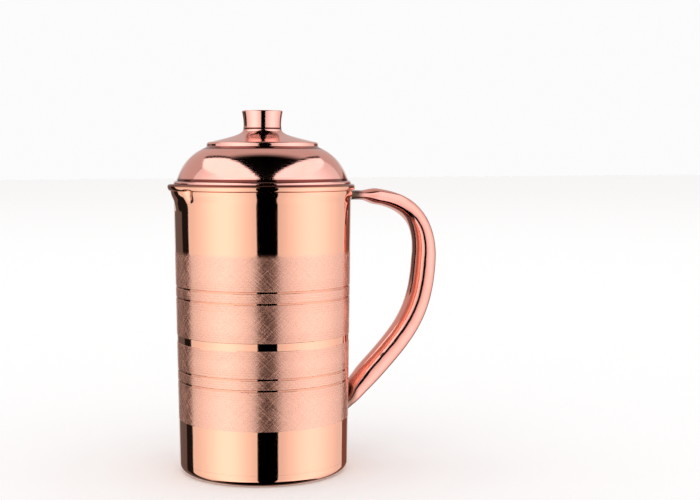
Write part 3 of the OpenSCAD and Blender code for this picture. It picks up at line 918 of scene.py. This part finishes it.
class MakeStage(bpy.types.Operator):
    """Make the pale floor, the soft lights, the plain backdrop and the camera"""
    bl_idname = "copper_jug.make_stage"
    bl_label = "Make stage"

    def execute(self, context):
        look, scene = context.scene.jug_stage, context.scene
        scene.view_settings.view_transform = "Standard"
        self.floor(scene, look)
        left = [(-0.06, 1.15), (-0.17, 0.85), (-0.3, 0.33), (-0.36, 0.07), (-0.46, -0.23), (-0.72, -0.72)]
        right = [(0.28, 1.12), (0.3, 0.75), (0.45, 0.19), (0.53, -0.16), (0.71, -0.76)]
        tent_side("Light_left", look.gap_start, -109, left, look.left_light, (1.0, 0.99, 0.97))
        tent_side("Light_right", look.gap_end, 131, right, look.right_light, (1.0, 0.98, 0.98))
        for name, start, end, light, shade in (
                ("Card_left", -126, -110, 0.012, (1, 1, 1)), ("Card_right", 131, 152, 0.2, (1, 0.45, 0.35)),
                ("Light_behind", 157, 203, 0.75, (1, 0.97, 0.95))):
            edges = [round_the_jug(start, end, TENT_FOOT), round_the_jug(start, end, CARD_TOP)]
            soft_light(name, edges, np.full(TENT_POINTS, light), shade)
        scene.world = self.backdrop(look)
        self.camera(scene)
        return {"FINISHED"}

    def floor(self, scene, look):
        """A pale floor that the copper doesn't mirror."""
        finish = Finish("Pale_floor")
        material = finish.ended(finish.add("ShaderNodeBsdfDiffuse", None, {"Color": [*look.floor, 1.0]}))
        mesh = bpy.data.meshes.new("Floor")
        mesh.from_pydata([(-9, -9, 0), (9, -9, 0), (9, 9, 0), (-9, 9, 0)], [], [(0, 1, 2, 3)])
        mesh.materials.append(material)
        floor = bpy.data.objects.new("Floor", mesh)
        scene.collection.objects.link(floor)
        floor.visible_glossy = False

    def camera(self, scene):
        """The camera, turned a little to the right of the jug and tipped down."""
        turn, tip = math.radians(CAMERA_TURN), math.radians(CAMERA_TIP)
        flat = HEADING * math.cos(turn) + RIGHT * math.sin(turn)
        camera = bpy.data.objects.new("Camera", bpy.data.cameras.new("Camera"))
        camera.data.lens = CAMERA_LENS
        camera.location = CAMERA_PLACE
        look_along = Vector((*(flat * math.cos(tip)), -math.sin(tip)))
        camera.rotation_euler = look_along.to_track_quat("-Z", "Y").to_euler()
        scene.collection.objects.link(camera)
        scene.camera = camera

    def backdrop(self, look):
        """White to the camera and to the floor. In the copper it is dark in front of the jug, dim behind it
        and pale above and behind it."""
        sky = Finish("Backdrop", "worlds")
        x, y, z = sky.split(sky.add("ShaderNodeTexCoord", output="Generated"))
        behind = (x * HEADING[0] + y * HEADING[1]).soft(0.08, 0.4)
        mirrored = behind * (look.dim_behind + (look.pale_above - look.dim_behind) * z.soft(0.0, 0.2))
        seen = sky.add("ShaderNodeLightPath", output="Is Camera Ray")
        on_floor = sky.add("ShaderNodeLightPath", output="Is Diffuse Ray")
        plain = (seen + on_floor).sum("MINIMUM", 1.0)
        strength = mirrored * (1 - plain) + plain * look.backdrop * (on_floor * look.floor_light + 1)
        shade = sky.mix(plain, [1.0, 0.86, 0.82, 1.0], [1.0, 1.0, 1.0, 1.0])
        shader = sky.add("ShaderNodeBackground", None, {"Color": shade, "Strength": strength})
        return sky.ended(shader, "ShaderNodeOutputWorld")


class JugPanel(bpy.types.Panel):
    """Sizes and finishes of the copper jug"""
    bl_idname = "VIEW3D_PT_copper_jug"
    bl_label = "Copper jug"
    bl_space_type = "VIEW_3D"
    bl_region_type = "UI"
    bl_category = "Copper jug"

    def draw(self, context):
        for title, groups, operator in STEPS:
            box = self.layout.box()
            box.label(text=title)
            for name in groups:
                group = getattr(context.scene, name)
                for key in group.__annotations__:
                    box.prop(group, key)
            box.operator(operator)


GROUPS = {"jug_body": BodySizes, "jug_handle": HandleSizes, "jug_lid": LidSizes, "jug_look": CopperLook,
          "jug_stage": StageLook}
STEPS = [
    ("Body", ["jug_body", "jug_look"], MakeBody.bl_idname),
    ("Handle", ["jug_handle"], MakeHandle.bl_idname),
    ("Lid", ["jug_lid"], MakeLid.bl_idname),
    ("Stage", ["jug_stage"], MakeStage.bl_idname),
]
CLASSES = [*GROUPS.values(), MakeBody, MakeHandle, MakeLid, MakeStage, JugPanel]


def register():
    for made in CLASSES:
        bpy.utils.register_class(made)
    for name, group in GROUPS.items():
        setattr(bpy.types.Scene, name, bpy.props.PointerProperty(type=group))


def unregister():
    for name in GROUPS:
        delattr(bpy.types.Scene, name)
    for made in reversed(CLASSES):
        bpy.utils.unregister_class(made)


def main():
    register()
    bpy.ops.copper_jug.make_body()
    bpy.ops.copper_jug.make_handle()
    bpy.ops.copper_jug.make_lid()
    bpy.ops.copper_jug.make_stage()


if __name__ == "__main__":
    main()
